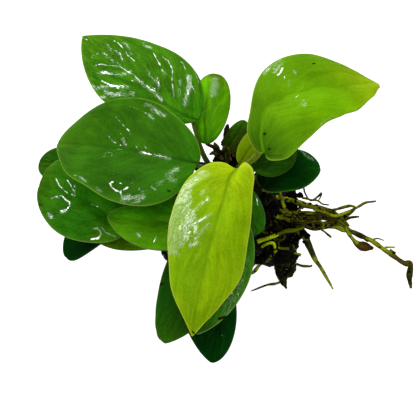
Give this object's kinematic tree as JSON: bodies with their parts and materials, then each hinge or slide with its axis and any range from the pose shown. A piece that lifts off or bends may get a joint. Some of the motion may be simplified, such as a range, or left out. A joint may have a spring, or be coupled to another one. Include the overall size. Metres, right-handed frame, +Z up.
{
  "type": "anubias plant on stone",
  "caption": "Low water plant with glossy oval leaves on short stalks around a creeping rhizome, rooted on a dark porous stone with a flat underside, for an aquarium or terrarium.",
  "frame": {"origin": "centre of the stone's flat underside, on the surface that the plant stands on", "axes": "+Z up, +X towards the side where the long roots trail away, -Y towards the side where the brightest leaf hangs; the picture looks down on the part from above and slightly from -Y"},
  "size_m": [0.1655, 0.1365, 0.0917],
  "materials": {
    "stone": "satin",
    "rhizome": "satin",
    "leaf_lime": "gloss",
    "leaf_light": "gloss",
    "leaf_green": "gloss",
    "leaf_dark": "gloss",
    "root": "satin"
  },
  "bodies": {
    "root": {"stone": "stone", "rhizome": "rhizome", "leaf_lime": "leaf_lime", "leaf_right": "leaf_light", "leaf_left": "leaf_green", "leaf_top_left": "leaf_green", "leaf_top": "leaf_green", "leaf_low_left": "leaf_green", "leaf_front": "leaf_green", "leaf_low_middle": "leaf_dark", "leaf_far_left": "leaf_dark", "leaf_floor_left": "leaf_dark", "leaf_low_right": "leaf_green", "leaf_bottom_left": "leaf_dark", "leaf_bottom": "leaf_dark", "leaf_small": "leaf_green", "leaf_under_right": "leaf_green", "leaf_far_right": "leaf_dark", "leaf_young": "leaf_light", "leaf_bud": "leaf_dark", "root_bulb": "root", "root_long": "root", "root_middle": "root", "root_rising": "root", "root_upright": "root", "root_bright": "root", "root_hook": "root", "root_lower": "root", "root_clump": "root", "root_trailing": "root", "root_side": "root"}
  },
  "joints": []
}
